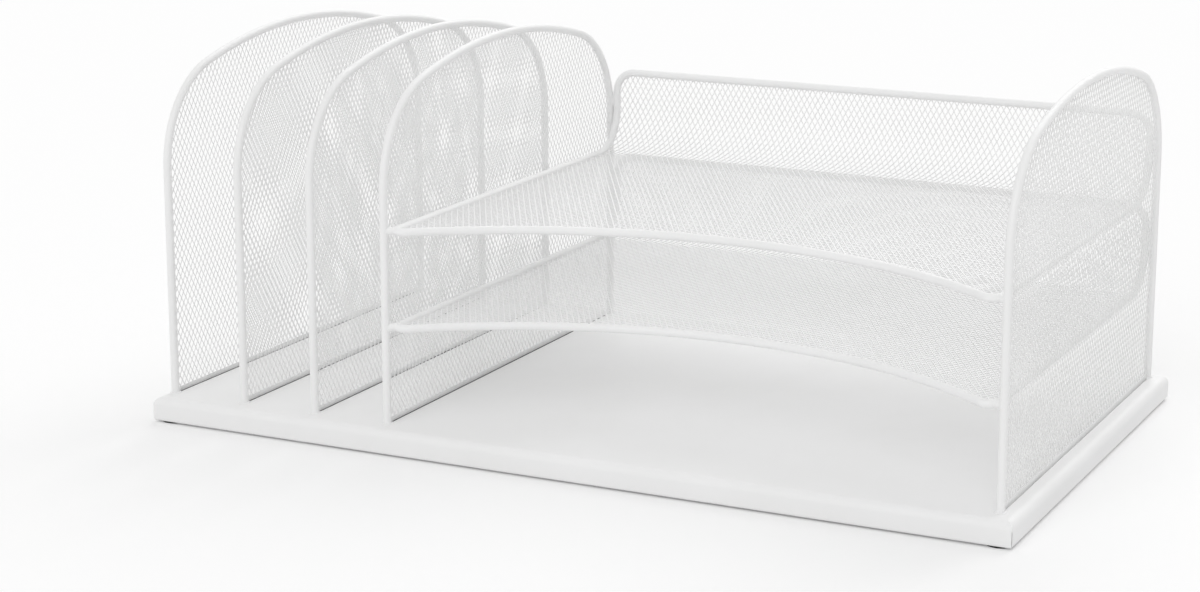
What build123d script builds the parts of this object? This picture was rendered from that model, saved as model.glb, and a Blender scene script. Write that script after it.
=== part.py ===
from build123d import *
from math import atan2, ceil, cos, degrees, hypot, radians, sin, sqrt
import os

os.makedirs("parts", exist_ok=True)

# Whole organizer, resting on z = 0 and centred on x = 0 and y = 0
base_width = 495.3
base_depth = 292.1
overall_height = 209.55

# Base pan, one folded steel sheet with rolled top edges and a return flange below
sheet = 1.0
pan_height = 13.2
roll_radius = 4.5
lower_bend_radius = 1.5
flange_width = 16.0
corner_gap = 0.4

# Thin foot pads stuck under the corners of the return flange
pad_thickness = 1.0
pad_radius = 7.0
pad_inset = 8.6

# Round wire of every frame, and the gap that a weld fills where two wires lie side by side
wire = 4.4
weld_gap = 0.3

# Five equal uprights: four close together on the left and one on the right
first_upright_inset = 5.75
upright_pitch = 45.45
close_uprights = 4
last_upright_inset = 10.4
front_leg_inset = 13.35
rear_leg_inset = 8.35
arch_rise = 66.5
arch_shoulder_radius = 56.0
leg_tail = 2.0
leg_hole_clearance = 0.2

# Expanded metal in the frames
mesh_thickness = 0.6
mesh_gap = 0.2
mesh_pitch_across = 42.0
mesh_pitch_along = 84.0
mesh_strand = 4.0
mesh_border = 3.0
smallest_opening_share = 0.1

# Tongue of each upright's mesh, which goes down a slit in the pan and is folded flat under it
tongue_inset = 2.0
tongue_fold = 6.0
slit_width = 2.4
slit_end_play = 0.4

# Two equal trays, one above the other, each bent up at the back
lower_tray_clear_height = 50.8
tray_pitch = 52.3
tray_back_height = 47.0
tray_bend_radius = 25.0
tray_top_corner_radius = 12.0
tray_front_corner_radius = 5.0
tray_front_setback = 1.5
tray_scoop = 57.0

# Places that follow from the sizes above
wire_radius = wire / 2
pan_bottom = pad_thickness
pan_top = pan_bottom + pan_height
pan_underside = pan_top - sheet
front_leg_y = -base_depth / 2 + front_leg_inset
rear_leg_y = base_depth / 2 - rear_leg_inset
arch_middle_y = (front_leg_y + rear_leg_y) / 2
arch_half_span = (rear_leg_y - front_leg_y) / 2
spring_z = overall_height - wire_radius - arch_rise
close_upright_xs = [-base_width / 2 + first_upright_inset + n * upright_pitch for n in range(close_uprights)]
last_upright_x = base_width / 2 - last_upright_inset
upright_xs = close_upright_xs + [last_upright_x]
side_by_side = wire + weld_gap
mesh_edge_inset = wire_radius + mesh_gap
tongue_length = 2 * (arch_half_span - mesh_edge_inset - tongue_inset)

# Three-centre arch: two shoulder arcs and a flatter crown arc that is tangent to both
shoulder_centre_offset = arch_half_span - arch_shoulder_radius
crown_radius = (shoulder_centre_offset**2 + arch_rise**2 - arch_shoulder_radius**2) / (
    2 * (arch_rise - arch_shoulder_radius)
)
crown_centre_z = spring_z + arch_rise - crown_radius
shoulder_end_angle = degrees(atan2(spring_z - crown_centre_z, -shoulder_centre_offset))


def arch_line(inset, foot_z):
    """The arch's outline in the upright's own plane, moved inwards by inset, with legs down to foot_z."""
    half_span = arch_half_span - inset
    shoulder = arch_shoulder_radius - inset
    shoulder_turn = shoulder_end_angle - 180
    crown_turn = 180 - 2 * shoulder_end_angle
    left_foot = Line((-half_span, foot_z), (-half_span, spring_z))
    left_shoulder = CenterArc((-shoulder_centre_offset, spring_z), shoulder, 180, shoulder_turn)
    crown = CenterArc((0, crown_centre_z), crown_radius - inset, shoulder_end_angle, crown_turn)
    right_shoulder = CenterArc((shoulder_centre_offset, spring_z), shoulder, -shoulder_turn, shoulder_turn)
    right_foot = Line((half_span, spring_z), (half_span, foot_z))
    return left_foot + left_shoulder + crown + right_shoulder + right_foot


# Plane of an upright at x = 0, with its own x axis along the depth and its y axis upwards
upright_plane = Plane(origin=(0, arch_middle_y, 0), x_dir=(0, 1, 0), z_dir=(1, 0, 0))


def wire_along(path):
    """Round wire with its centre on path."""
    section = Plane(origin=path @ 0, z_dir=path % 0) * Circle(wire_radius)
    return sweep(section, path=path)


def diamond(half_across, half_along):
    """One opening of the expanded metal, with its long axis along y."""
    return Polygon((-half_across, 0), (0, -half_along), (half_across, 0), (0, half_along))


def diamond_openings(region):
    """Staggered diamond openings over a flat region, cut off where they leave it."""
    cell_inner_radius = mesh_pitch_across * mesh_pitch_along / 2 / hypot(mesh_pitch_across, mesh_pitch_along)
    open_share = 1 - mesh_strand / 2 / cell_inner_radius
    opening = diamond(open_share * mesh_pitch_across / 2, open_share * mesh_pitch_along / 2)
    box = region.bounding_box()
    columns = ceil(box.size.X / 2 / mesh_pitch_across)
    rows = ceil(box.size.Y / mesh_pitch_along)
    smallest_area = smallest_opening_share * opening.area
    openings = []
    for row in range(-rows, rows + 1):
        for column in range(-columns, columns + 1):
            x = box.center().X + (column + (row % 2) / 2) * mesh_pitch_across
            y = box.center().Y + row * mesh_pitch_along / 2
            cut = Pos(x, y) * opening & region
            if cut is not None:
                openings += [face for face in cut.faces() if face.area > smallest_area]
    return openings


def rolled_block(width, depth, low, high, top_radius, bottom_radius):
    """A block with rounded top and bottom edges that meet in mitres at its four upright corners."""
    pieces = []
    for span, length, plane in ((width, depth, Plane.XZ), (depth, width, Plane.YZ)):
        profile = plane * Pos(0, (low + high) / 2) * Rectangle(span, high - low)
        profile = fillet(profile.vertices().group_by(Axis.Z)[-1], top_radius)
        profile = fillet(profile.vertices().group_by(Axis.Z)[0], bottom_radius)
        pieces.append(extrude(profile, length / 2, both=True))
    return pieces[0] & pieces[1]


def corner_slots():
    """Open mitres of the fold, below the rolled edge, from each corner to the flange's inner corner."""
    length = 2 * sqrt(2) * flange_width + 4 * sheet
    bottom_first = (Align.CENTER, Align.CENTER, Align.MIN)
    slot = Box(length, corner_gap, pan_height - roll_radius, align=bottom_first)
    slots = []
    for side in (-1, 1):
        for end in (-1, 1):
            place = Pos(side * base_width / 2, end * base_depth / 2, pan_bottom)
            slots.append(place * Rot(0, 0, 45 * side * end) * slot)
    return slots


def make_base_pan():
    """Folded pan, open below inside its return flange, with open corners, leg holes and mesh slits."""
    outside = rolled_block(base_width, base_depth, pan_bottom, pan_top, roll_radius, lower_bend_radius)
    inside = rolled_block(
        base_width - 2 * sheet,
        base_depth - 2 * sheet,
        pan_bottom + sheet,
        pan_underside,
        roll_radius - sheet,
        lower_bend_radius - sheet,
    )
    cut_depth = 4 * sheet
    mouth = Box(base_width - 2 * flange_width, base_depth - 2 * flange_width, cut_depth)
    pan = outside - inside - Pos(0, 0, pan_bottom) * mouth - corner_slots()
    leg_hole = Cylinder(wire_radius + leg_hole_clearance, cut_depth)
    slit = Box(slit_width, tongue_length + 2 * slit_end_play, cut_depth)
    for x in upright_xs:
        for leg_y in (front_leg_y, rear_leg_y):
            pan -= Pos(x, leg_y, pan_top) * leg_hole
        pan -= Pos(x, arch_middle_y, pan_top) * slit
    return pan


def make_foot_pad(side, end):
    """Round pad under one corner of the return flange."""
    x = side * (base_width / 2 - pad_inset)
    y = end * (base_depth / 2 - pad_inset)
    return Pos(x, y, pad_thickness / 2) * Cylinder(pad_radius, pad_thickness)


def make_upright_wire():
    """Wire bent to an arch, whose legs go through the pan's top and end just under it."""
    path = upright_plane * arch_line(0, pan_underside - leg_tail)
    return wire_along(path)


def arch_face(inset, foot_z):
    """Flat area inside the arch, down to foot_z."""
    half_span = arch_half_span - inset
    return make_face(arch_line(inset, foot_z) + Line((half_span, foot_z), (-half_span, foot_z)))


def make_upright_mesh():
    """Expanded metal inside one arch, with a plain border and a folded tongue below the pan's top."""
    plate = arch_face(mesh_edge_inset, pan_top)
    plate -= diamond_openings(offset(plate, -mesh_border))
    tongue_bottom = pan_underside - mesh_thickness
    tongue_height = pan_top - tongue_bottom
    plate += Pos(0, tongue_bottom + tongue_height / 2) * Rectangle(tongue_length, tongue_height)
    net = upright_plane * extrude(plate, mesh_thickness / 2, both=True)
    fold = Box(tongue_fold, tongue_length, mesh_thickness, align=(Align.MIN, Align.CENTER, Align.MIN))
    return net + Pos(-mesh_thickness / 2, arch_middle_y, tongue_bottom) * fold


# Tray outline, the same for both trays
tray_left_x = close_upright_xs[-1] + side_by_side
tray_right_x = last_upright_x - side_by_side
tray_middle_x = (tray_left_x + tray_right_x) / 2
tray_half_width = (tray_right_x - tray_left_x) / 2
tray_tip_y = front_leg_y + tray_front_setback
tray_back_y = rear_leg_y
tray_bend_start_y = tray_back_y - tray_bend_radius
lower_tray_z = pan_top + lower_tray_clear_height + wire_radius
upper_tray_z = lower_tray_z + tray_pitch

# The scooped front is one arc, tangent to both front corners and centred in front of the tray
corner_centre_x = tray_half_width - tray_front_corner_radius
corner_centre_y = tray_tip_y + tray_front_corner_radius
scoop_depth = tray_scoop - tray_front_corner_radius
scoop_radius = (corner_centre_x**2 + scoop_depth**2 - tray_front_corner_radius**2) / (2 * tray_scoop)
scoop_centre_y = tray_tip_y + tray_scoop - scoop_radius
scoop_half_angle = degrees(atan2(corner_centre_x, corner_centre_y - scoop_centre_y))


def tray_front_line(inset):
    """Right half of the tray's front edge, moved inwards by inset: half the scoop and the corner."""
    scoop = CenterArc((0, scoop_centre_y), scoop_radius + inset, 90, -scoop_half_angle)
    corner = CenterArc(
        (corner_centre_x, corner_centre_y),
        tray_front_corner_radius - inset,
        270 - scoop_half_angle,
        90 + scoop_half_angle,
    )
    return scoop + corner


def make_tray_wire():
    """Closed loop of wire: scooped front, sides, bends and the back's rail with rounded corners."""
    side_x = tray_half_width
    side = Line((side_x, corner_centre_y), (side_x, tray_bend_start_y))
    bend_plane = Plane(origin=(side_x, tray_bend_start_y, tray_bend_radius), x_dir=(0, 1, 0), z_dir=(1, 0, 0))
    bend = bend_plane * CenterArc((0, 0), tray_bend_radius, 270, 90)
    corner_z = tray_back_height - tray_top_corner_radius
    riser = Line((side_x, tray_back_y, tray_bend_radius), (side_x, tray_back_y, corner_z))
    rail_end_x = side_x - tray_top_corner_radius
    corner_plane = Plane(origin=(rail_end_x, tray_back_y, corner_z), x_dir=(1, 0, 0), z_dir=(0, -1, 0))
    corner = corner_plane * CenterArc((0, 0), tray_top_corner_radius, 0, 90)
    rail = Line((rail_end_x, tray_back_y, tray_back_height), (0, tray_back_y, tray_back_height))
    half = wire_along(tray_front_line(0) + side + bend + riser + corner + rail)
    return half + mirror(half, Plane.YZ)


def tray_floor_face(inset, back_y):
    """Flat floor inside the tray's wire, from the scooped front to back_y."""
    side_x = tray_half_width - inset
    right = tray_front_line(inset) + Line((side_x, corner_centre_y), (side_x, back_y))
    return make_face(right + mirror(right, Plane.YZ) + Line((side_x, back_y), (-side_x, back_y)))


def make_tray_mesh():
    """Expanded metal floor that turns up through the bend and becomes the tray's back."""
    half_width = tray_half_width - mesh_edge_inset
    floor = tray_floor_face(mesh_edge_inset, tray_bend_start_y)
    floor -= diamond_openings(offset(floor, -mesh_border))
    floor = extrude(floor, mesh_thickness / 2, both=True)

    back_height = tray_back_height - mesh_edge_inset - tray_bend_radius
    back = Pos(0, tray_bend_radius + back_height / 2) * Rectangle(2 * half_width, back_height)
    back = fillet(back.vertices().group_by(Axis.Y)[-1], tray_top_corner_radius - mesh_edge_inset)
    back -= diamond_openings(offset(back, -mesh_border))
    back_plane = Plane(origin=(0, tray_back_y, 0), x_dir=(1, 0, 0), z_dir=(0, -1, 0))
    back = back_plane * extrude(back, mesh_thickness / 2, both=True)

    bend_plane = Plane(origin=(0, tray_bend_start_y, tray_bend_radius), x_dir=(0, 1, 0), z_dir=(1, 0, 0))
    ring = Circle(tray_bend_radius + mesh_thickness / 2) - Circle(tray_bend_radius - mesh_thickness / 2)
    quarter = Rectangle(2 * tray_bend_radius, 2 * tray_bend_radius, align=(Align.MIN, Align.MAX))
    bend = bend_plane * extrude(ring & quarter, half_width, both=True)
    half_bend = radians(45)
    slope = Plane(bend_plane.origin, x_dir=(1, 0, 0), z_dir=(0, sin(half_bend), -cos(half_bend)))
    half_length = tray_bend_radius * sin(half_bend - mesh_border / tray_bend_radius)
    opening = diamond(mesh_pitch_across / 2 - mesh_strand, half_length)
    openings_each_side = int((half_width - mesh_border) / mesh_pitch_across)
    for n in range(-openings_each_side, openings_each_side + 1):
        bend -= slope * Pos(n * mesh_pitch_across, 0) * extrude(opening, 2 * tray_bend_radius)
    return floor + bend + back


export_step(make_base_pan(), "parts/base_pan.step")

for end_name, end in (("front", -1), ("rear", 1)):
    for side_name, side in (("left", -1), ("right", 1)):
        export_step(make_foot_pad(side, end), f"parts/foot_pad_{end_name}_{side_name}.step")

upright_wire = make_upright_wire()
upright_mesh = make_upright_mesh()
for number, x in enumerate(upright_xs, 1):
    export_step(Pos(x, 0, 0) * upright_wire, f"parts/upright_{number}_wire.step")
    export_step(Pos(x, 0, 0) * upright_mesh, f"parts/upright_{number}_mesh.step")

tray_wire = make_tray_wire()
tray_mesh = make_tray_mesh()
for name, z in (("lower", lower_tray_z), ("upper", upper_tray_z)):
    export_step(Pos(tray_middle_x, 0, z) * tray_wire, f"parts/{name}_tray_wire.step")
    export_step(Pos(tray_middle_x, 0, z) * tray_mesh, f"parts/{name}_tray_mesh.step")
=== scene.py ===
import bpy, math
from mathutils import Matrix, Vector


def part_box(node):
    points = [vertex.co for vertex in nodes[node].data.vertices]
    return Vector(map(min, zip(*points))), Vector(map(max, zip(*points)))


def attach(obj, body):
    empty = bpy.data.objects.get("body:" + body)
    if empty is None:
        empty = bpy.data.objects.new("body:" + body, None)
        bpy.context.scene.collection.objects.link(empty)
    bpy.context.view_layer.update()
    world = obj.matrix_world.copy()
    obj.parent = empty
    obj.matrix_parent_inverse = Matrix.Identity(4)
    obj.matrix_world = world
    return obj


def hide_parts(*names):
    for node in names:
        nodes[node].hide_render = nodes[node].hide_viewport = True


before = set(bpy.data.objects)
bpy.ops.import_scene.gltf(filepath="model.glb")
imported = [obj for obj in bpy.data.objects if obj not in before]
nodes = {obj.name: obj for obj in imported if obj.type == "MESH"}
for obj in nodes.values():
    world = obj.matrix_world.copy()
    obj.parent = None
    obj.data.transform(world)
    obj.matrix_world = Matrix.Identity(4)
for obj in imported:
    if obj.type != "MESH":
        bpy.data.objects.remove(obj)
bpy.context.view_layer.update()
scene = bpy.context.scene

# Base pan: one folded steel sheet with a rolled top edge and open mitres at its corners.
# It is pickled, folded and powder coated white, so its finish is satin with a fine orange peel.
mm = 0.001
pan_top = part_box("base_pan")[1].z
cloud_scale, grain_scale = 14, 900
thin_coat_share = 0.975
thin_coat_blue_share = 0.972


def powder_coat(name, tone, roughness, peel_depth):
    """White powder coat: faint clouds of thicker coat, fine grains, and an orange peel in the bump."""
    material = bpy.data.materials.new(name)
    material.use_nodes = True
    tree = material.node_tree
    shader = tree.nodes["Principled BSDF"]
    shader.inputs["Specular IOR Level"].default_value = 0.4
    place = tree.nodes.new("ShaderNodeTexCoord")

    clouds = tree.nodes.new("ShaderNodeTexNoise")
    clouds.inputs["Scale"].default_value = cloud_scale
    clouds.inputs["Detail"].default_value = 4
    tree.links.new(place.outputs["Object"], clouds.inputs["Vector"])
    cloud_tone = tree.nodes.new("ShaderNodeValToRGB")
    thin, thick = cloud_tone.color_ramp.elements
    thin.position, thick.position = 0.35, 0.65
    thin.color = (tone * thin_coat_share, tone * thin_coat_share, tone * thin_coat_blue_share, 1)
    thick.color = (tone, tone, tone, 1)
    tree.links.new(clouds.outputs["Fac"], cloud_tone.inputs["Fac"])
    tree.links.new(cloud_tone.outputs["Color"], shader.inputs["Base Color"])

    grains = tree.nodes.new("ShaderNodeTexNoise")
    grains.inputs["Scale"].default_value = grain_scale
    grains.inputs["Detail"].default_value = 3
    tree.links.new(place.outputs["Object"], grains.inputs["Vector"])
    gloss = tree.nodes.new("ShaderNodeMapRange")
    gloss.inputs["To Min"].default_value = roughness - 0.06
    gloss.inputs["To Max"].default_value = roughness + 0.08
    tree.links.new(grains.outputs["Fac"], gloss.inputs["Value"])
    tree.links.new(gloss.outputs["Result"], shader.inputs["Roughness"])

    peel = tree.nodes.new("ShaderNodeBump")
    peel.inputs["Strength"].default_value = 0.35
    peel.inputs["Distance"].default_value = peel_depth
    tree.links.new(grains.outputs["Fac"], peel.inputs["Height"])
    tree.links.new(peel.outputs["Normal"], shader.inputs["Normal"])
    return material


def coat_node(name, material):
    """Gives a CAD node its finish."""
    for material_slot in nodes[name].material_slots:
        material_slot.material = material


coat_node("base_pan", powder_coat("pan_powder_coat", 0.91, 0.48, 0.06 * mm))

# Foot pads: four discs of thin black foam rubber, stuck under the corners of the pan's return flange.
# They are die cut, so the edge is square and shows the foam's open cells.
foam_cell_scale = 2600
foam_cell_depth = 0.15 * mm

foam = bpy.data.materials.new("foam_rubber")
foam.use_nodes = True
foam_shader = foam.node_tree.nodes["Principled BSDF"]
foam_shader.inputs["Roughness"].default_value = 0.9
foam_place = foam.node_tree.nodes.new("ShaderNodeTexCoord")
foam_cells = foam.node_tree.nodes.new("ShaderNodeTexVoronoi")
foam_cells.inputs["Scale"].default_value = foam_cell_scale
foam.node_tree.links.new(foam_place.outputs["Object"], foam_cells.inputs["Vector"])
foam_tone = foam.node_tree.nodes.new("ShaderNodeValToRGB")
foam_tone.color_ramp.elements[0].color = (0.012, 0.012, 0.012, 1)
foam_tone.color_ramp.elements[1].color = (0.045, 0.045, 0.045, 1)
foam.node_tree.links.new(foam_cells.outputs["Distance"], foam_tone.inputs["Fac"])
foam.node_tree.links.new(foam_tone.outputs["Color"], foam_shader.inputs["Base Color"])
foam_bump = foam.node_tree.nodes.new("ShaderNodeBump")
foam_bump.inputs["Distance"].default_value = foam_cell_depth
foam.node_tree.links.new(foam_cells.outputs["Distance"], foam_bump.inputs["Height"])
foam.node_tree.links.new(foam_bump.outputs["Normal"], foam_shader.inputs["Normal"])

for end in ("front", "rear"):
    for side in ("left", "right"):
        coat_node(f"foot_pad_{end}_{side}", foam)

# Upright wires: five equal arches of 4.4 mm steel wire, bent cold, with their legs through holes in the pan.
# They are coated after welding, so the coat runs round the wire without a seam.
wire_coat = powder_coat("wire_powder_coat", 0.91, 0.45, 0.04 * mm)
uprights = (1, 2, 3, 4, 5)
for number in uprights:
    coat_node(f"upright_{number}_wire", wire_coat)

# Upright meshes: flattened expanded steel inside each arch, with long diamonds of about 3.9 by 6.2 mm.
# Its plain lower edge goes down a slit in the pan as a tongue and is folded flat underneath.
# Below the pan's top the four dividers' tongues are painted near black, as painted shade for the shade down
# their slits.
wire_radius = 2.2 * mm
strand = 0.42 * mm
plain_edge = 2.3 * mm
arch_shoulder_radius = 56 * mm
arch_rise = 66.5 * mm
tongue_end_gap = 4.4 * mm
tongue_fold = 5.6 * mm
fold_depth = 1.3 * mm
# Depth below the pan's top at which the painted shade on the tongue begins.
coat_reach = 0.18 * mm
sheet_margin = 9 * mm
touch = 0.01 * mm
mesh_coat = powder_coat("mesh_powder_coat", 0.9, 0.5, 0.03 * mm)

# A near-black, rough colour with a faint mottle: painted shade for the tongues inside the slits.
bare_steel = bpy.data.materials.new("bare_steel")
bare_steel.use_nodes = True
steel_tree = bare_steel.node_tree
steel_shader = steel_tree.nodes["Principled BSDF"]
steel_shader.inputs["Roughness"].default_value = 0.6
steel_place = steel_tree.nodes.new("ShaderNodeTexCoord")
scale_marks = steel_tree.nodes.new("ShaderNodeTexNoise")
scale_marks.inputs["Scale"].default_value = 160
scale_marks.inputs["Detail"].default_value = 6
steel_tree.links.new(steel_place.outputs["Object"], scale_marks.inputs["Vector"])
steel_tone = steel_tree.nodes.new("ShaderNodeValToRGB")
steel_tone.color_ramp.elements[0].color = (0.012, 0.012, 0.013, 1)
steel_tone.color_ramp.elements[1].color = (0.035, 0.034, 0.033, 1)
steel_tree.links.new(scale_marks.outputs["Fac"], steel_tone.inputs["Fac"])
steel_tree.links.new(steel_tone.outputs["Color"], steel_shader.inputs["Base Color"])

wire_low, wire_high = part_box("upright_1_wire")
arch_middle_y = (wire_low.y + wire_high.y) / 2
half_span = (wire_high.y - wire_low.y) / 2 - wire_radius
spring_z = wire_high.z - wire_radius - arch_rise
shoulder_offset = half_span - arch_shoulder_radius
crown_radius = (shoulder_offset**2 + arch_rise**2 - arch_shoulder_radius**2) / 2 / (
    arch_rise - arch_shoulder_radius
)
crown_centre_z = spring_z + arch_rise - crown_radius
shoulder_end = math.atan2(spring_z - crown_centre_z, shoulder_offset)


def select_edges(net, wanted):
    """Selects in edit mode the edges whose two ends pass the test."""
    bpy.ops.object.mode_set(mode="EDIT")
    bpy.ops.mesh.select_mode(type="EDGE")
    bpy.ops.mesh.select_all(action="DESELECT")
    bpy.ops.object.mode_set(mode="OBJECT")
    for edge in net.data.edges:
        start, stop = (net.data.vertices[v].co for v in edge.vertices)
        edge.select = wanted(start, stop)
    bpy.ops.object.mode_set(mode="EDIT")


def start_diamonds(name, width, height, pitch_across, pitch_along, corner):
    """A flat sheet of whole diamonds, its lower left corner at the given place, left open in edit mode."""
    columns = math.ceil(width / pitch_across)
    rows = math.ceil(height / pitch_along)
    bpy.ops.object.select_all(action="DESELECT")
    bpy.ops.mesh.primitive_grid_add(x_subdivisions=columns, y_subdivisions=rows, size=1)
    net = bpy.context.object
    net.name = net.data.name = name
    bpy.ops.object.mode_set(mode="EDIT")
    bpy.ops.transform.resize(value=(columns * pitch_across, rows * pitch_along, 1))
    middle = Vector((corner[0] + columns * pitch_across / 2, corner[1] + rows * pitch_along / 2, 0))
    bpy.ops.transform.translate(value=middle)
    bpy.ops.mesh.poke()
    grid_line = min(pitch_across, pitch_along) / 100
    select_edges(net, lambda a, b: abs(a.x - b.x) < grid_line or abs(a.y - b.y) < grid_line)
    bpy.ops.mesh.dissolve_edges(use_verts=False)
    bpy.ops.mesh.select_mode(type="FACE")
    return net


def trim(point, outward):
    """Shears off all that lies beyond a straight cut through the point."""
    bpy.ops.mesh.select_all(action="SELECT")
    plane_co = (point[0], point[1], 0)
    plane_no = (outward[0], outward[1], 0)
    bpy.ops.mesh.bisect(plane_co=plane_co, plane_no=plane_no, clear_outer=True, threshold=1e-6)


def trim_round(centre, radius, first, last, steps):
    """Shears the sheet along a convex arc in short straight cuts."""
    for step in range(steps + 1):
        angle = first + (last - first) * step / steps
        outward = (math.cos(angle), math.sin(angle))
        trim((centre[0] + radius * outward[0], centre[1] + radius * outward[1]), outward)


smallest_opening = 1.3


def open_diamonds(net, strand_width):
    """Cuts the opening out of every diamond that is large enough for its strands, and leaves those."""
    bpy.ops.object.mode_set(mode="OBJECT")
    mesh = net.data
    for face in mesh.polygons:
        rim = sum((mesh.vertices[a].co - mesh.vertices[b].co).length for a, b in face.edge_keys)
        face.select = 2 * face.area / rim > smallest_opening * strand_width
    bpy.ops.object.mode_set(mode="EDIT")
    bpy.ops.mesh.inset(thickness=strand_width / 2, use_individual=True, use_boundary=True)
    bpy.ops.mesh.delete(type="FACE")
    bpy.ops.object.mode_set(mode="OBJECT")


def thicken(net, thickness):
    """Gives the finished sheet its thickness, half to each side."""
    wall = net.modifiers.new("thickness", "SOLIDIFY")
    wall.thickness = thickness
    wall.offset = 0
    bpy.ops.object.modifier_apply(modifier=wall.name)


tongue_half = half_span - tongue_end_gap
fold_z = pan_top - fold_depth
mesh_foot_z = pan_top + plain_edge
first_cut_turn = 6
shoulder_cuts, crown_cuts = 11, 9
crown_start = shoulder_end + 0.05


def cut_upright_net(name, pitch_across, pitch_along, turn, thickness):
    """An arch's net with its tongue, lying flat: cut from a sheet that lies turned by a few degrees."""
    corner = (-half_span - sheet_margin, mesh_foot_z - sheet_margin)
    width = 2 * (half_span + sheet_margin)
    height = wire_high.z - mesh_foot_z + 2 * sheet_margin
    net = start_diamonds(name, width, height, pitch_across, pitch_along, corner)
    bpy.ops.mesh.select_all(action="SELECT")
    middle = (0, mesh_foot_z + arch_rise, 0)
    bpy.ops.transform.rotate(value=math.radians(turn), orient_axis="Z", center_override=middle)
    trim((0, mesh_foot_z), (0, -1))
    trim((half_span, 0), (1, 0))
    trim((-half_span, 0), (-1, 0))
    rear_shoulder, front_shoulder = (shoulder_offset, spring_z), (-shoulder_offset, spring_z)
    rear_start, front_start = math.radians(first_cut_turn), math.radians(180 - first_cut_turn)
    trim_round(rear_shoulder, arch_shoulder_radius, rear_start, shoulder_end, shoulder_cuts)
    trim_round(front_shoulder, arch_shoulder_radius, front_start, math.pi - shoulder_end, shoulder_cuts)
    trim_round((0, crown_centre_z), crown_radius, crown_start, math.pi - crown_start, crown_cuts)
    open_diamonds(net, strand)

    select_edges(net, lambda a, b: max(abs(a.y - mesh_foot_z), abs(b.y - mesh_foot_z)) < touch)
    bpy.ops.mesh.extrude_edges_move(TRANSFORM_OT_translate={"value": (0, -plain_edge, 0)})
    bpy.ops.mesh.select_mode(type="FACE")
    for side in (-1, 1):
        bpy.ops.object.mode_set(mode="OBJECT")
        for face in net.data.polygons:
            face.select = face.center.y < mesh_foot_z - touch
        bpy.ops.object.mode_set(mode="EDIT")
        bpy.ops.mesh.bisect(plane_co=(side * tongue_half, 0, 0), plane_no=(1, 0, 0), threshold=1e-6)
    bpy.ops.object.mode_set(mode="OBJECT")
    select_edges(
        net,
        lambda a, b: max(abs(a.y - pan_top), abs(b.y - pan_top)) < touch
        and max(abs(a.x), abs(b.x)) < tongue_half + touch,
    )
    bpy.ops.mesh.extrude_edges_move(TRANSFORM_OT_translate={"value": (0, -coat_reach, 0)})
    bpy.ops.mesh.extrude_edges_move(TRANSFORM_OT_translate={"value": (0, fold_z - pan_top + coat_reach, 0)})
    bpy.ops.mesh.extrude_edges_move(TRANSFORM_OT_translate={"value": (0, 0, tongue_fold)})
    bpy.ops.mesh.select_all(action="SELECT")
    bpy.ops.mesh.remove_doubles(threshold=0.002 * mm)
    bpy.ops.mesh.normals_make_consistent(inside=False)
    bpy.ops.object.mode_set(mode="OBJECT")
    thicken(net, thickness)
    net.data.materials.append(mesh_coat)
    return net


# No two pieces of the stretched sheet are quite alike.
# Each row is the pitch across and along, the turn in degrees and the coated thickness.
upright_sheets = {
    1: (3.93 * mm, 6.2 * mm, 0, 0.27 * mm),
    2: (3.83 * mm, 6.2 * mm, -0.5, 0.27 * mm),
    3: (4.0 * mm, 6.15 * mm, 2, 0.25 * mm),
    4: (3.9 * mm, 6.2 * mm, -2.5, 0.25 * mm),
    5: (4.4 * mm, 6.5 * mm, 0, 0.43 * mm),
}
for number, sheet in upright_sheets.items():
    upright_net = cut_upright_net(f"upright_{number}_net", *sheet)
    # The four dividers' tongues below the pan's top get the painted shade; the fifth upright's tongue keeps
    # the white coat.
    if number < 5:
        upright_net.data.materials.append(bare_steel)
        for face in upright_net.data.polygons:
            if face.center.y < pan_top - coat_reach:
                face.material_index = 1
    low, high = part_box(f"upright_{number}_wire")
    upright_net.rotation_euler = (math.radians(90), 0, math.radians(90))
    upright_net.location = ((low.x + high.x) / 2, arch_middle_y, 0)
    bpy.ops.object.transform_apply(location=True, rotation=True, scale=True)
    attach(upright_net, "root")
    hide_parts(f"upright_{number}_mesh")

# Tray wires: one closed loop each, with a scooped front, turned up at the back to a low rail.
# The sides are welded to the legs of the fourth and the fifth upright.
trays = ("lower", "upper")
for tray in trays:
    coat_node(f"{tray}_tray_wire", wire_coat)

# Tray meshes: one sheet of expanded steel for the floor and the low back, rolled up through a bend.
# It is a little thicker than the uprights', with diamonds of 3.5 by 6.3 mm.
# Its edge is welded along the wire's middle.
tray_pitch_across, tray_pitch_along = 3.53 * mm, 6.26 * mm
tray_strand, tray_sheet_thickness = 0.52 * mm, 0.45 * mm
tray_bend_radius = 25 * mm
tray_corner_radius = 12 * mm
tray_tip_radius = 5 * mm
tray_scoop = 57 * mm
corner_cut_turns = (15, 30, 45, 60, 75)
scoop_cuts = 24

tray_low, tray_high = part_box("lower_tray_wire")
tray_middle_x = (tray_low.x + tray_high.x) / 2
side_x = (tray_high.x - tray_low.x) / 2 - wire_radius
tip_y = tray_low.y + wire_radius
back_y = tray_high.y - wire_radius
back_height = tray_high.z - tray_low.z - 2 * wire_radius
bend_start_y = back_y - tray_bend_radius
bend_length = tray_bend_radius * math.pi / 2
sheet_end_y = bend_start_y + bend_length + back_height - tray_bend_radius
tip_centre_x = side_x - tray_tip_radius
scoop_depth = tray_scoop - tray_tip_radius
scoop_radius = (tip_centre_x**2 + scoop_depth**2 - tray_tip_radius**2) / 2 / tray_scoop
scoop_centre_y = tip_y + tray_scoop - scoop_radius
scoop_half_angle = math.atan2(tip_centre_x, tip_y + tray_tip_radius - scoop_centre_y)

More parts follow.
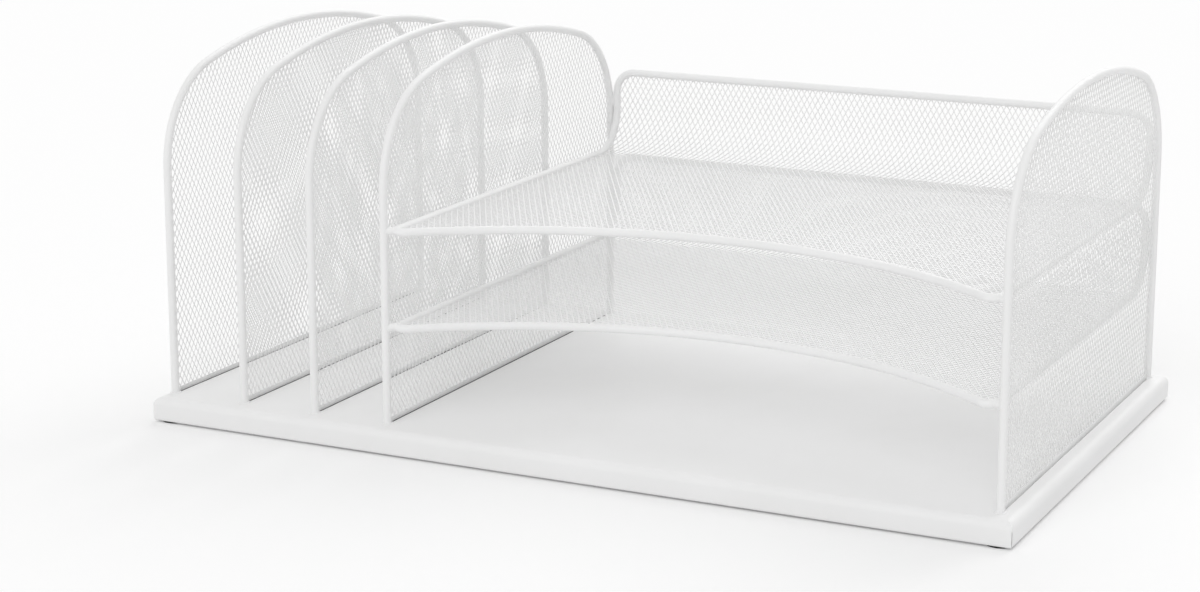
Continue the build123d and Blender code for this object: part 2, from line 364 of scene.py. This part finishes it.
net = start_diamonds(
    "lower_tray_net",
    2 * side_x + tray_pitch_across,
    sheet_end_y - tip_y + tray_pitch_along / 2,
    tray_pitch_across,
    tray_pitch_along,
    (-side_x - tray_pitch_across / 2, tip_y - tray_pitch_along / 2),
)
trim((side_x, 0), (1, 0))
trim((-side_x, 0), (-1, 0))
trim((0, sheet_end_y), (0, 1))
trim((0, tip_y), (0, -1))
corner_y = sheet_end_y - tray_corner_radius
for side in (-1, 1):
    corner = (side * (side_x - tray_corner_radius), corner_y)
    tip = (side * tip_centre_x, tip_y + tray_tip_radius)
    for turn in corner_cut_turns:
        out_x, out_y = side * math.cos(math.radians(turn)), math.sin(math.radians(turn))
        place = (corner[0] + tray_corner_radius * out_x, corner[1] + tray_corner_radius * out_y)
        trim(place, (out_x, out_y))
        place = (tip[0] + tray_tip_radius * out_x, tip[1] + tray_tip_radius * -out_y)
        trim(place, (out_x, -out_y))

# The scoop is hollow, so each straight cut is made only across its own wedge
wedge = 2 * scoop_half_angle / scoop_cuts


def wedge_of(centre):
    """Which of the scoop's cuts a place on the sheet belongs to."""
    angle = math.atan2(centre.x, centre.y - scoop_centre_y)
    return min(max(int((angle + scoop_half_angle) // wedge), 0), scoop_cuts - 1)


def cut_direction(number):
    """Direction from the scoop's centre to the middle of one cut."""
    angle = (number + 0.5) * wedge - scoop_half_angle
    return Vector((math.sin(angle), math.cos(angle), 0))


scoop_centre = Vector((0, scoop_centre_y, 0))
flat_radius = scoop_radius * math.cos(wedge / 4)
for cut in range(scoop_cuts):
    bpy.ops.object.mode_set(mode="OBJECT")
    direction = cut_direction(cut)
    for face in net.data.polygons:
        near = abs((face.center - scoop_centre).dot(direction) - scoop_radius) < 2 * tray_pitch_along
        face.select = near and wedge_of(face.center) == cut
    bpy.ops.object.mode_set(mode="EDIT")
    place = scoop_centre + flat_radius * direction
    bpy.ops.mesh.bisect(plane_co=place, plane_no=direction, threshold=1e-6)
bpy.ops.object.mode_set(mode="OBJECT")
for face in net.data.polygons:
    reach = (face.center - scoop_centre).dot(cut_direction(wedge_of(face.center)))
    face.select = reach < flat_radius
bpy.ops.object.mode_set(mode="EDIT")
bpy.ops.mesh.delete(type="FACE")
open_diamonds(net, tray_strand)

for vertex in net.data.vertices:
    along = vertex.co.y - bend_start_y
    if along > 0:
        turn = min(along / tray_bend_radius, math.pi / 2)
        vertex.co.y = bend_start_y + tray_bend_radius * math.sin(turn)
        vertex.co.z = tray_bend_radius * (1 - math.cos(turn)) + max(along - bend_length, 0)
thicken(net, tray_sheet_thickness)
net.data.materials.append(wire_coat)

upper_net = net.copy()
upper_net.data = net.data.copy()
upper_net.name = upper_net.data.name = "upper_tray_net"
scene.collection.objects.link(upper_net)
for tray in trays:
    tray_net = bpy.data.objects[f"{tray}_tray_net"]
    low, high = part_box(f"{tray}_tray_wire")
    bpy.ops.object.select_all(action="DESELECT")
    tray_net.select_set(True)
    bpy.context.view_layer.objects.active = tray_net
    tray_net.location = (tray_middle_x, 0, low.z + wire_radius)
    bpy.ops.object.transform_apply(location=True, rotation=True, scale=True)
    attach(tray_net, "root")
    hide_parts(f"{tray}_tray_mesh")

# Welds: each leg has a ring of weld where it goes through the pan, and each tray hangs on four beads.
# The front beads reach from a front leg to the tray's tip, and the rear ones fill the groove beside a riser.
ring_radius, ring_thickness = 2.5 * mm, 0.6 * mm
front_bead_radii = [2.1 * mm, 2.1 * mm, 2.05 * mm, 2.1 * mm, 2.1 * mm]
rear_bead_radii = [0.4 * mm, 1.1 * mm, 1.35 * mm, 1.4 * mm, 1.35 * mm, 1.1 * mm, 0.4 * mm]
rear_bead_length = 9 * mm
rear_bead_drop = 10 * mm


def weld_bead(name, radii, length):
    """A bead along its own Z, drawn out ring by ring from a flat end at the origin."""
    bpy.ops.object.select_all(action="DESELECT")
    bpy.ops.mesh.primitive_circle_add(vertices=20, radius=radii[0], fill_type="NGON")
    bead = bpy.context.object
    bead.name = bead.data.name = name
    bpy.ops.object.mode_set(mode="EDIT")
    step = length / (len(radii) - 1)
    for before, after in zip(radii, radii[1:]):
        bpy.ops.mesh.extrude_region_move(TRANSFORM_OT_translate={"value": (0, 0, step)})
        bpy.ops.transform.resize(value=(after / before, after / before, 1))
    bpy.ops.mesh.select_all(action="SELECT")
    bpy.ops.mesh.normals_make_consistent(inside=False)
    bpy.ops.object.mode_set(mode="OBJECT")
    bpy.ops.object.shade_smooth_by_angle(angle=math.radians(50))
    return bead


def fix_weld(weld):
    """Coats a placed weld and leaves its place in its mesh."""
    bpy.ops.object.select_all(action="DESELECT")
    weld.select_set(True)
    bpy.context.view_layer.objects.active = weld
    bpy.ops.object.transform_apply(location=True, rotation=True, scale=True)
    weld.data.materials.append(wire_coat)
    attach(weld, "root")


leg_x = {}
for number in uprights:
    low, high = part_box(f"upright_{number}_wire")
    leg_x[number] = (low.x + high.x) / 2
    for side, place in ((-1, "front"), (1, "rear")):
        bpy.ops.object.select_all(action="DESELECT")
        bpy.ops.mesh.primitive_torus_add(
            major_radius=ring_radius, minor_radius=ring_thickness, major_segments=36, minor_segments=12
        )
        ring = bpy.context.object
        ring.name = ring.data.name = f"upright_{number}_{place}_weld"
        bpy.ops.object.shade_smooth()
        ring.location = (leg_x[number], arch_middle_y + side * half_span, pan_top)
        fix_weld(ring)

leg_y = arch_middle_y - half_span
for tray in trays:
    low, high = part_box(f"{tray}_tray_wire")
    floor_z = low.z + wire_radius
    for side, hand, number in ((-1, "left", 4), (1, "right", 5)):
        leg = Vector((leg_x[number], leg_y, floor_z))
        tip = Vector((tray_middle_x + side * tip_centre_x, tip_y + tray_tip_radius, floor_z))
        reach = (tip - leg).length - tray_tip_radius
        bead = weld_bead(f"{tray}_tray_front_{hand}_weld", front_bead_radii, reach)
        bead.rotation_euler = (tip - leg).to_track_quat("Z", "Y").to_euler()
        bead.location = leg
        fix_weld(bead)

        bead = weld_bead(f"{tray}_tray_rear_{hand}_weld", rear_bead_radii, rear_bead_length)
        groove_x = (leg_x[number] + tray_middle_x + side * side_x) / 2
        bead.location = (groove_x, back_y, high.z - tray_corner_radius - wire_radius - rear_bead_drop)
        fix_weld(bead)

# Floor: a plain white studio floor, one flat plane far wider than the picture.
# Its own colour takes the organizer's soft shadow, and seen directly it is lifted to a clean white.
floor_size = 8.0
floor_tone = 0.9
floor_lift = 0.1
bpy.ops.object.select_all(action="DESELECT")
bpy.ops.mesh.primitive_plane_add(size=floor_size)
floor = bpy.context.object
floor.name = floor.data.name = "studio_floor"
floor_white = bpy.data.materials.new("studio_white")
floor_white.use_nodes = True
floor_tree = floor_white.node_tree
floor_shader = floor_tree.nodes["Principled BSDF"]
floor_shader.inputs["Base Color"].default_value = (floor_tone, floor_tone, floor_tone, 1)
floor_shader.inputs["Roughness"].default_value = 1.0
floor_shader.inputs["Specular IOR Level"].default_value = 0.0
light_path = floor_tree.nodes.new("ShaderNodeLightPath")
seen = floor_tree.nodes.new("ShaderNodeMath")
seen.operation = "MAXIMUM"
floor_tree.links.new(light_path.outputs["Is Camera Ray"], seen.inputs[0])
floor_tree.links.new(light_path.outputs["Is Glossy Ray"], seen.inputs[1])
lift = floor_tree.nodes.new("ShaderNodeMath")
lift.operation = "MULTIPLY"
lift.inputs[1].default_value = floor_lift
floor_tree.links.new(seen.outputs["Value"], lift.inputs[0])
floor_shader.inputs["Emission Color"].default_value = (1, 1, 1, 1)
floor_tree.links.new(lift.outputs["Value"], floor_shader.inputs["Emission Strength"])
floor.data.materials.append(floor_white)

# Light: a bright white room, with wide soft light from behind and in front, and a little from behind right.
# Each soft light is as wide as a large diffuser, so the wires' shadows melt into one another on the floor.
room_strength = 0.61
diffuser_width = 50

world = bpy.data.worlds.new("studio_room")
scene.world = world
world.use_nodes = True
room = world.node_tree
room_light = room.nodes["Background"]
room_light.inputs["Color"].default_value = (1, 1, 1, 1)
room_light.inputs["Strength"].default_value = room_strength
room_white = room.nodes.new("ShaderNodeBackground")
room_white.inputs["Color"].default_value = (1, 1, 1, 1)
room_white.inputs["Strength"].default_value = 1.0
room_path = room.nodes.new("ShaderNodeLightPath")
room_seen = room.nodes.new("ShaderNodeMath")
room_seen.operation = "MAXIMUM"
room.links.new(room_path.outputs["Is Camera Ray"], room_seen.inputs[0])
room.links.new(room_path.outputs["Is Glossy Ray"], room_seen.inputs[1])
room_mix = room.nodes.new("ShaderNodeMixShader")
room.links.new(room_seen.outputs["Value"], room_mix.inputs["Fac"])
room.links.new(room_light.outputs["Background"], room_mix.inputs[1])
room.links.new(room_white.outputs["Background"], room_mix.inputs[2])
room.links.new(room_mix.outputs["Shader"], room.nodes["World Output"].inputs["Surface"])


def soft_light(name, azimuth, elevation, strength):
    """A wide diffuser, far off: its azimuth runs from +X towards +Y, both angles in degrees."""
    lamp = bpy.data.lights.new(name, "SUN")
    lamp.angle = math.radians(diffuser_width)
    lamp.energy = strength
    stand = bpy.data.objects.new(name, lamp)
    turn, rise = math.radians(azimuth), math.radians(elevation)
    toward_light = Vector((math.cos(turn) * math.cos(rise), math.sin(turn) * math.cos(rise), math.sin(rise)))
    stand.rotation_euler = toward_light.to_track_quat("Z", "Y").to_euler()
    scene.collection.objects.link(stand)


soft_light("back_light", 90, 40, 0.85)
soft_light("right_light", 50, 50, 0.2)
soft_light("front_fill", -90, 40, 0.74)

# Camera: a long lens from the front right, a little above the trays.
# Its turn, tilt and roll are in degrees, and its lens and shift are for the photograph's 1200 by 592 frame.
camera_turn, camera_tilt, camera_roll = 24.68, 77.20, 0.371
picture_width, picture_height = 1200, 592
focal_pixels = 2655.6
view_centre_x, view_centre_y = 677.4, 246.2

camera_data = bpy.data.cameras.new("camera")
camera = bpy.data.objects.new("camera", camera_data)
scene.collection.objects.link(camera)
camera.location = (0.60504, -1.30865, 0.42260)
aim = Matrix.Rotation(math.radians(camera_turn), 4, "Z") @ Matrix.Rotation(math.radians(camera_tilt), 4, "X")
camera.rotation_euler = (aim @ Matrix.Rotation(math.radians(camera_roll), 4, "Z")).to_euler()
camera_data.sensor_fit = "HORIZONTAL"
camera_data.sensor_width = 36
camera_data.lens = focal_pixels * camera_data.sensor_width / picture_width
camera_data.shift_x = (picture_width / 2 - view_centre_x) / picture_width
camera_data.shift_y = (view_centre_y - picture_height / 2) / picture_width
scene.camera = camera
scene.view_settings.view_transform = "Standard"
